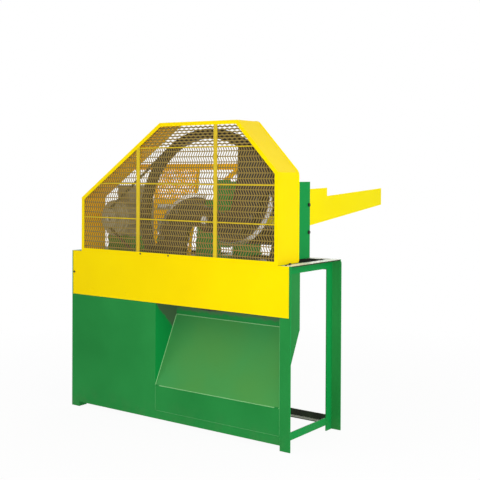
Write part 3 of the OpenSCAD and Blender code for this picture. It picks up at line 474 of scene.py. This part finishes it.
def levelWaves(outline, sheetAt, s):  # level strands that rise and fall, each against the next, round lens holes
    lo, hi = outline.min(0), outline.max(0)
    half = s["longWay"] / 2
    row, col = np.mgrid[-1:int((hi[1] - lo[1]) / s["row"]) + 2, -1:int((hi[0] - lo[0]) / half) + 2]
    ends = []
    for k in (0, 1):
        swing = s["wave"] * (-1.0) ** (row + col + k)
        ends.append(np.stack([lo[0] + (col + k) * half, lo[1] + row * s["row"] + swing], -1).reshape(-1, 2))
    return strandBars(*ends, s["strand"], s["lean"], True, outline, sheetAt, s)


def diamonds(outline, sheetAt, s):  # strands from each knuckle up to the two above it, long way upright
    lo, hi = outline.min(0), outline.max(0)
    step = np.array([s["shortWay"], s["longWay"]]) / 2
    row, col = np.mgrid[-1:int((hi[1] - lo[1]) / step[1]) + 2, -1:int((hi[0] - lo[0]) / step[0] / 2) + 2]
    foot = np.stack([lo[0] + (2 * col + row % 2) * step[0], lo[1] + row * step[1]], -1).reshape(-1, 2)
    ends = np.concatenate([foot, foot]), np.concatenate([foot + step, foot + step * (-1, 1)])
    return strandBars(*ends, s["strand"], s["lean"], False, outline, sheetAt, s)


# corners of the hood, in the stand's XZ plane; the mesh fills it to just inside its walls
guardCorners = {"leftWall": 0.261, "rightWall": 0.385, "topLeft": -0.229, "topRight": 0.209, "border": 0.0025,
                "rodHalf": 0.003}


def guardOutline(s):  # both feet, the right wall's top, the flat top's two ends and the left wall's top
    base = hoodLo[2]
    return np.array([[hoodLo[0], base], [hoodHi[0], base], [hoodHi[0], base + s["rightWall"]],
                     [wheelMid[0] + s["topRight"], hoodHi[2]], [wheelMid[0] + s["topLeft"], hoodHi[2]],
                     [hoodLo[0], base + s["leftWall"]]])


def guardWindow(s):  # each corner moved in by the border along both of its edges
    outline = guardOutline(s)
    n = insideNormals(outline)
    before = np.roll(n, 1, 0)
    det = before[:, 0] * n[:, 1] - before[:, 1] * n[:, 0]
    return outline + s["border"] * np.stack([n[:, 1] - before[:, 1], before[:, 0] - n[:, 0]], 1) / det[:, None]


# the main sheet has rows of slanted slots, and a strip with level holes closes the guard above the top rod
topRod = span("guard_rods")[1][2] - guardCorners["rodHalf"]
window = guardWindow(guardCorners)
meshAt = sum(span("guard_mesh"))[1] / 2
sheets = [slantedRows(cutAt(window, topRod, True), meshAt, guardMeshLook),
          levelWaves(cutAt(window, topRod, False), meshAt, stripMeshLook)]
meshPiece = addPiece("guard_mesh_fine", *joined(sheets), "mesh_paint")
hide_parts("guard_mesh")
print("mesh strands:", len(meshPiece.data.polygons) // len(barFaces))

# the low panel behind the wheel is a diamond mesh, its right edge leaning outward
rearLo, rearHi = span("rear_guard_panel")
rearOutline = np.array([[rearLo[0], rearLo[2]], [rearHi[0] - rearMeshLook["edgeLean"], rearLo[2]],
                        [rearHi[0], rearHi[2]], [rearLo[0], rearHi[2]]])
rearSheet = diamonds(rearOutline, (rearLo[1] + rearHi[1]) / 2, rearMeshLook)
rearPiece = addPiece("rear_mesh_fine", *rearSheet, "yellow_paint", guardPaintInnerShade)
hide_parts("rear_guard_panel")


# V-belt: a wedge section with a bevelled back, carried round both pulleys
beltLook = {"wheelR": 0.398, "pulleyR": 0.036, "lift": 0.0005, "thick": 0.0083, "wide": 0.013, "narrow": 0.0092,
            "bevel": (0.001, 0.002), "points": (220, 48)}


def makeBelt(s):  # an arc about each pulley, joined by tangents, with the section set out along the radius
    c1, c2 = wheelMid[[0, 2]], motorMid[[0, 2]]
    gap = c2 - c1
    lead = math.atan2(gap[1], gap[0])
    spread = math.acos((s["wheelR"] - s["pulleyR"]) / np.linalg.norm(gap))
    a1 = np.linspace(lead + spread, lead + 2 * math.pi - spread, s["points"][0])
    a2 = np.linspace(lead - spread, lead + spread, s["points"][1])
    turn = np.concatenate([a1, a2])
    centre = np.concatenate([np.tile(c1, (len(a1), 1)), np.tile(c2, (len(a2), 1))])
    radius = np.concatenate([np.full(len(a1), s["wheelR"]), np.full(len(a2), s["pulleyR"])])
    low, high = s["lift"], s["lift"] + s["thick"]
    wide, narrow, (drop, inset) = s["wide"], s["narrow"], s["bevel"]
    section = np.array([[low, -narrow], [high - drop, -wide], [high, -wide + inset],
                        [high, wide - inset], [high - drop, wide], [low, narrow]]) * (1, 0.5)
    r = radius[:, None] + section[None, :, 0]
    points = np.stack([centre[:, :1] + r * np.cos(turn)[:, None],
                       np.broadcast_to(wheelMid[1] + section[None, :, 1], r.shape),
                       centre[:, 1:] + r * np.sin(turn)[:, None]], -1)
    return points, gridFaces(len(turn), len(section), True, True)


belt = addPiece("v_belt", *makeBelt(beltLook), "belt_rubber")
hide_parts("drive_belt")


# motor: cooling fins along the frame, none under the terminal box and the feet
finLook = {"count": 44, "root": 0.0865, "tip": 0.0955, "rootHalf": 0.0016, "tipHalf": 0.0009, "endGap": 0.012,
           "boxHalf": 34.0, "footHalf": 52.0}


def makeFins(s):  # a tapered section at equal turns about the motor's axis, drawn out between the end gaps
    lo, hi = span("motor_frame")
    turn = np.arange(s["count"]) * 360 / s["count"]
    offTop, offFoot = (np.abs((turn - middle + 180) % 360 - 180) for middle in (90, 270))
    turn = np.radians(turn[(offTop > s["boxHalf"]) & (offFoot > s["footHalf"])])
    out = np.stack([np.cos(turn), np.sin(turn)], -1)
    over = np.stack([-np.sin(turn), np.cos(turn)], -1)
    section = np.array([[s["root"], -s["rootHalf"]], [s["tip"], -s["tipHalf"]],
                        [s["tip"], s["tipHalf"]], [s["root"], s["rootHalf"]]])
    flat = motorMid[[0, 2]] + out[:, None] * section[None, :, :1] + over[:, None] * section[None, :, 1:]
    ends = [np.stack([flat[..., 0], np.full(flat.shape[:2], y), flat[..., 1]], -1)
            for y in (lo[1] + s["endGap"], hi[1] - s["endGap"])]
    return manyBars(np.concatenate(ends, 1))


addPiece("motor_fins", *makeFins(finLook), "motor_paint")

# the fan cover's grille: round bars bent into rings
grilleLook = {"rings": (0.022, 0.036, 0.050, 0.064, 0.078), "tube": 0.0022, "around": 64, "across": 8}


def ringTube(radius, y, s):  # a torus: a small circle by v, carried round the motor's axis by u
    u, v = np.meshgrid(equalTurns(s["around"]), equalTurns(s["across"]), indexing="ij")
    r = radius + s["tube"] * np.cos(v)
    points = np.stack([motorMid[0] + r * np.cos(u), y + s["tube"] * np.sin(v), motorMid[2] + r * np.sin(u)], -1)
    return points, gridFaces(s["around"], s["across"], True, True)


coverEnd = span("motor_fan_cover")[1][1]
grille = joined([ringTube(r, coverEnd, grilleLook) for r in grilleLook["rings"]])
addPiece("fan_grille", *grille, "fan_plastic", smooth=True)


# pan-head screws: a domed profile turned about its axis
domeLook = {"around": 20, "rings": 6, "power": 0.6, "sunk": 0.0002, "askew": (0.3, 0.5, 0.8)}
lidScrewLook = {**domeLook, "radius": 0.0036, "height": 0.0024, "margin": 0.009, "far": 0.176}


def domes(places, axis, s):  # the radius falls as a power of t's cosine, and the rise along the axis is t's sine
    axis = np.array(axis, float)
    t = np.linspace(0, math.pi / 2, s["rings"])
    r = s["radius"] * np.cos(t) ** s["power"]
    rise = s["height"] * np.sin(t) - s["sunk"]
    ring = ringAbout(axis, s["askew"], s["around"])
    one = r[:, None, None] * ring[None] + rise[:, None, None] * axis
    faces = gridFaces(len(t), s["around"], False, True)[:, ::-1]
    return joined([(place + one, faces) for place in np.asarray(places)])


boxLo, boxHi = span("terminal_box")
margin, far = lidScrewLook["margin"], lidScrewLook["far"]
lidPlaces = [(x, y, boxHi[2]) for x in (boxLo[0] + margin, boxHi[0] - margin)
             for y in (boxLo[1] + margin, boxLo[1] + far)]
addPiece("lid_screws", *domes(lidPlaces, (0, 0, 1), lidScrewLook), "bare_steel", smooth=True)
print("motor and belt done")


# weld beads: a rippled round run along each seam; ends: the higher, the blunter the run's two ends
beadLook = {"around": 8, "perPitch": 5, "fewest": 8, "thinnest": 0.02, "askew": (0.31, 0.52, 0.79)}
weldLook = {**beadLook, "radius": 0.0032, "ripple": 0.22, "pitch": 0.005, "ends": 8,
            "inset": 0.002, "slide": 0.026, "slideRise": 0.001, "rail": 0.03, "plate": 0.032,
            "stand": (0.018, 0.001), "standRise": 0.008, "standSkew": 0.0001}


def bead(start, end, s):  # a circle carried along a line, its radius dipping by a sine and closing at both ends
    start, end = np.array(start, float), np.array(end, float)
    length = np.linalg.norm(end - start)
    n = max(s["fewest"], int(length / s["pitch"] * s["perPitch"]))
    t = np.linspace(0, 1, n)
    ripple = 1 - s["ripple"] * np.abs(np.sin(math.pi * t * length / s["pitch"]))
    r = s["radius"] * ripple * np.sqrt(np.clip(1 - (2 * t - 1) ** s["ends"], s["thinnest"], 1))
    ring = ringAbout((end - start) / length, s["askew"], s["around"])
    points = start + t[:, None, None] * (end - start) + r[:, None, None] * ring[None]
    rim = np.arange(s["around"])
    return points, gridFaces(n, s["around"], False, True), np.array([rim, rim[::-1] + (n - 1) * s["around"]])


def addBeads(name, runs, s, slotName, finish=None):
    points, sides, caps = zip(*(bead(start, end, s) for start, end in runs))
    addPiece(name, *joined(zip(points, sides)), slotName, finish, smooth=True, caps=joined(zip(points, caps))[1])


slideLo, slideHi = span("chute_slide")
railLo, railHi = span("bottom_rail_front")


def greenSeams(s):  # the slide's foot, the front rail's ends, the throat plates' feet and the bearing stand's base
    foot = slideLo[2] + s["slideRise"]
    feet = ((slideLo[0] + s["inset"], slideLo[0] + s["slide"]), (slideHi[0] - s["slide"], slideHi[0] - s["inset"]))
    runs = [((a, frontY, foot), (b, frontY, foot)) for a, b in feet]
    runs += [((x, frontY, railLo[2]), (x, frontY, railLo[2] + s["rail"])) for x in (railLo[0], railHi[0])]
    for plate in ("throat_plate_left", "throat_plate_right"):
        lo, hi = span(plate)
        runs += [((x, hi[1] - s["plate"], lo[2]), (x, hi[1] - s["inset"], lo[2])) for x in (lo[0], hi[0])]
    lo, hi = span("bearing_stand")
    rear, front = (lo[1] + reach for reach in s["stand"])
    rise = lo[2] + s["standRise"]
    return runs + [((x, rear, rise), (x - s["standSkew"], front, rise)) for x in (lo[0], hi[0])]


greenRuns = greenSeams(weldLook)
addBeads("green_welds", greenRuns, weldLook, "green_paint")

# folded edges in a lighter green, partly rubbed wear and partly painted highlight, fine seams between the panels
# painted lighter as highlights, and the top rail's bare dark edge
lineLook = {**beadLook, "ripple": 0.0, "pitch": 0.05, "ends": 80}
lipLook = {**lineLook, "radius": 0.0019, "pitch": 0.02, "ends": 400}
seamLook = {**lineLook, "radius": 0.0009, "around": 6}
edgeLook = {**lineLook, "radius": 0.0024}
linePlaces = {"lip": 0.175, "lift": 0.0015, "sunk": 0.001, "edgeDrop": 0.0025, "seamRise": 0.37}
left, right, back = slideLo[0], slideHi[0], slideHi[1] - linePlaces["sunk"]
lip, fold, kick = linePlaces["lip"], slideHi[2] + linePlaces["lift"], railHi[2]
topLo, topHi = span("top_rail_right")
edgeX, edgeZ = topHi[0] - linePlaces["sunk"], topHi[2] - linePlaces["edgeDrop"]
lines = {
    # the lips' lighter green is partly wear and partly a painted highlight
    "worn_lips": (lipLook, (0.26, 0.54, 0.24), (0.20, 0.48, 0.19), [
        ((left, frontY, lip), (right, frontY, lip)), ((left, frontY, lip), (left, back, fold)),
        ((left, back, fold), (right, back, fold))]),
    # the seams' lighter green is a painted highlight
    "panel_seams": (seamLook, (0.10, 0.36, 0.13), (0.07, 0.30, 0.10), [
        ((left, frontY, kick), (left, frontY, lip)), ((left, frontY, kick), (right, frontY, kick)),
        ((right, frontY, kick), (right, frontY, lip + linePlaces["seamRise"]))]),
    "rail_edge": (edgeLook, (0.020, 0.030, 0.018), (0.028, 0.022, 0.015), [
        ((edgeX, topLo[1], edgeZ), (edgeX, topHi[1], edgeZ))]),
}
for name, (look, colour, deep, runs) in lines.items():
    addBeads(name, runs, look, "green_paint", tinted(name + "_paint", "green_paint", colour, deep))

# rolled rear edge of the guard's hood
hoodEdgeLook = {**lineLook, "radius": 0.0028}
hoodEdge = [(x, hoodHi[1] - linePlaces["sunk"], z) for x, z in guardOutline(guardCorners)]
addBeads("hood_rear_edge", list(zip(hoodEdge[1:], hoodEdge[2:] + hoodEdge[:1])), hoodEdgeLook, "yellow_paint")

# painted screw heads along the apron's foot, and dark bolt heads beside the guard's foot
apronScrewLook = {**domeLook, "radius": 0.0055, "height": 0.0025, "places": (-0.504, -0.279), "rise": 0.028}
footBoltLook = {**domeLook, "radius": 0.0065, "height": 0.006, "places": (0.078, 0.330), "beside": 0.011}
apronLo = span("apron")[0]
apronScrews = [(x, apronLo[1], apronLo[2] + apronScrewLook["rise"]) for x in apronScrewLook["places"]]
footBolts = [(hoodHi[0] + footBoltLook["beside"], frontY + y, topHi[2]) for y in footBoltLook["places"]]
addPiece("apron_screws", *domes(apronScrews, (0, -1, 0), apronScrewLook), "yellow_paint", smooth=True)
addPiece("guard_foot_bolts", *domes(footBolts, (0, 0, 1), footBoltLook), "dark_steel", smooth=True)
print("seams and welds:", len(greenRuns) + sum(len(runs) for *_, runs in lines.values()))


# stage: pale floor, soft lamps and a white surround; each lamp has a place, a size and a power
stageLook = {"floor": (0.86, 0.86, 0.86), "floorHalf": 60.0, "floorRough": 0.9, "floorGlow": 0.94,
             "clearFrom": (1.0, 2.6), "ambient": 0.39, "aimAt": (0.0, -0.35, 0.75),
             "lamps": {"flash": ((2.72, -3.73, 1.18), 0.08, 93.0), "key": ((3.6, -4.4, 3.6), 3.4, 20.0),
                       "fill": ((-3.8, -4.2, 2.4), 3.0, 32.0), "top": ((0.2, -2.5, 5.0), 4.0, 42.0),
                       "side": ((4.7, -0.6, 2.4), 3.5, 82.0), "rear": ((-1.6, 4.6, 2.6), 3.4, 60.0)}}


def directSight(tree):  # 1 for the camera's rays and for what gloss or glass passes on
    path = node(tree, "ShaderNodeLightPath").outputs
    gloss = maths(tree, "MAXIMUM", path["Is Glossy Ray"], path["Is Transmission Ray"])
    return maths(tree, "MAXIMUM", path["Is Camera Ray"], gloss)


def makeFloor(s):  # takes the object's shadow, and turns plain white away from it
    half = s["floorHalf"]
    mesh = bpy.data.meshes.new("floor")
    mesh.from_pydata([(-half, -half, 0), (half, -half, 0), (half, half, 0), (-half, half, 0)], [], [(0, 1, 2, 3)])
    floor = bpy.data.objects.new("floor", mesh)
    scene.collection.objects.link(floor)
    mat, tree, bsdf, where = newFinish("floor")
    setInputs(tree, bsdf, {"Base Color": (*s["floor"], 1), "Roughness": s["floorRough"],
                           "Specular IOR Level": 0.0})
    clear = ranged(tree, vectors(tree, "LENGTH", where), *s["clearFrom"], s["floorGlow"], 1.0)
    glow = node(tree, "ShaderNodeEmission", {"Color": (1, 1, 1, 1), "Strength": 1.0})
    share = maths(tree, "MULTIPLY", directSight(tree), clear)
    mix = node(tree, "ShaderNodeMixShader", {0: share, 1: bsdf.outputs[0], 2: glow.outputs[0]})
    setInputs(tree, tree.nodes["Material Output"], {0: mix.outputs[0]})
    mesh.materials.append(mat)


def makeSurround(s):
    world = bpy.data.worlds.new("surround")
    scene.world = world
    world.use_nodes = True
    tree = world.node_tree
    strength = ranged(tree, directSight(tree), 0.0, 1.0, s["ambient"], 1.0)
    setInputs(tree, tree.nodes["Background"], {0: (1, 1, 1, 1), 1: strength})


def makeLamp(name, place, size, power, aimAt):
    data = bpy.data.lights.new(name, "AREA")
    data.size = size
    data.energy = power
    ahead = np.array(aimAt) - place
    ahead /= np.linalg.norm(ahead)
    side = np.cross(ahead, (0, 0, 1.0))
    side /= np.linalg.norm(side)
    placed(data, side, np.cross(side, ahead), ahead, place).visible_camera = False


makeFloor(stageLook)
makeSurround(stageLook)
for name, lamp in stageLook["lamps"].items():
    makeLamp(name, *lamp, stageLook["aimAt"])
scene.view_settings.view_transform = "Standard"
print("stage done")
